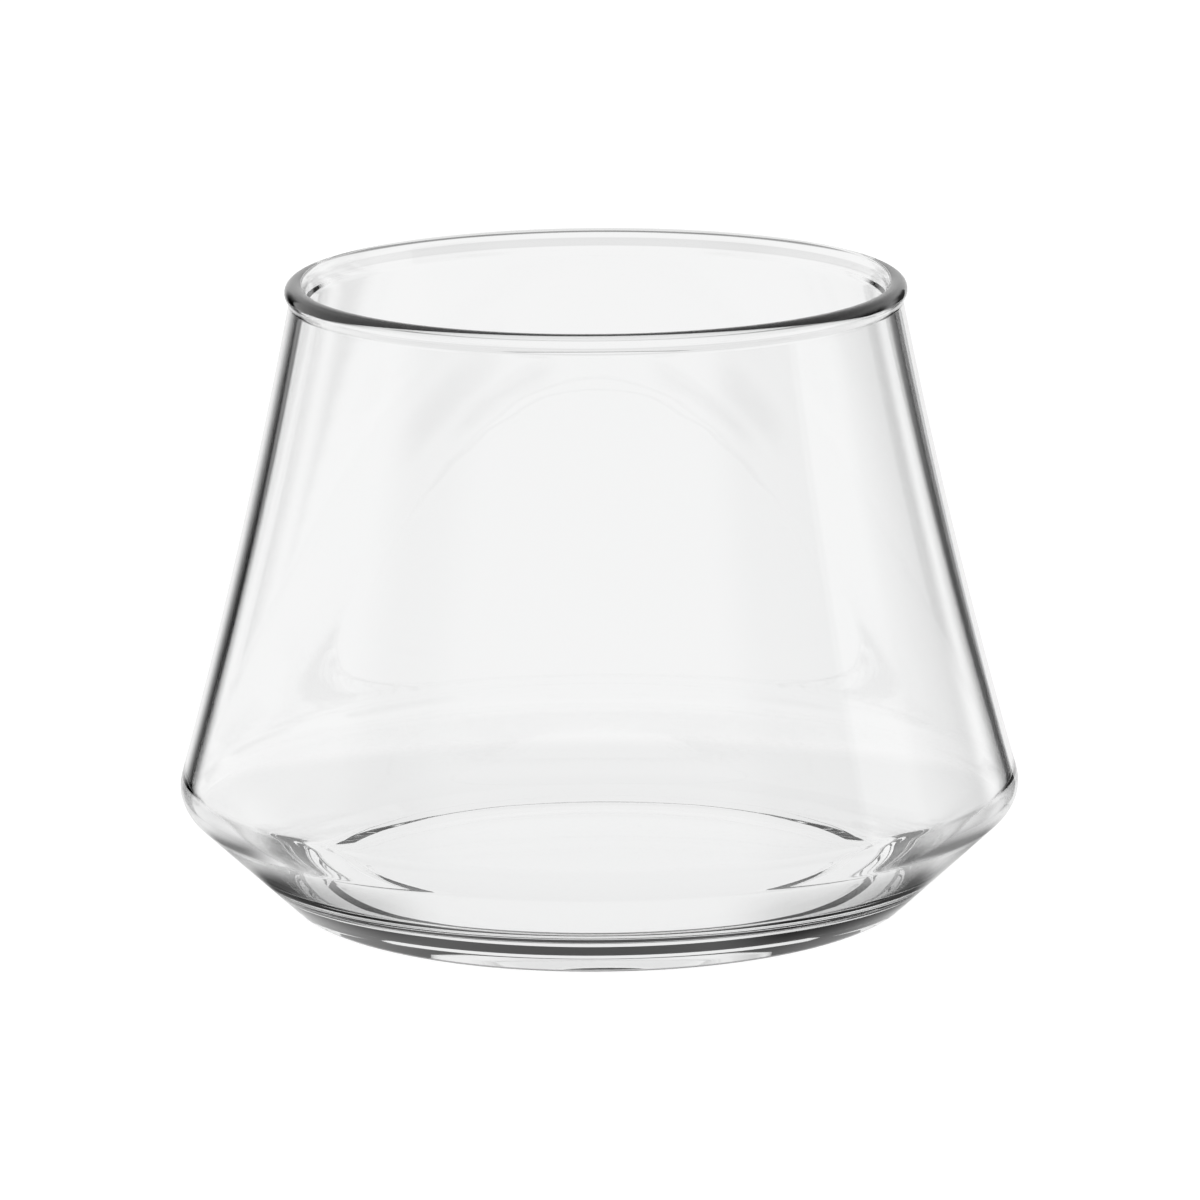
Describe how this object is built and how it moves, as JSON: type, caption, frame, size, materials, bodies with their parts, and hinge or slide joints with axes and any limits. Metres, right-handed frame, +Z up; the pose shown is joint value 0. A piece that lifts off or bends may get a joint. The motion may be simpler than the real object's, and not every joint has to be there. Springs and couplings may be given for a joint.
{
  "type": "drinking glass",
  "caption": "Clear round drinking glass with a fire-polished rim bead, a wall that widens down to a rounded shoulder, a bevelled heel and a small thick foot.",
  "frame": {"origin": "centre of the foot's resting plane, on the glass's axis", "axes": "+Z up along the glass's axis, from the foot to the rim; X and Y are equivalent, the glass is round"},
  "size_m": [0.0954, 0.0954, 0.0711],
  "materials": {
    "clear_glass": "clear colourless glass, fire-polished"
  },
  "bodies": {
    "root": {"base": "clear_glass", "heel_bevel": "clear_glass", "shoulder": "clear_glass", "side_wall": "clear_glass", "rim_bead": "clear_glass"}
  },
  "joints": []
}
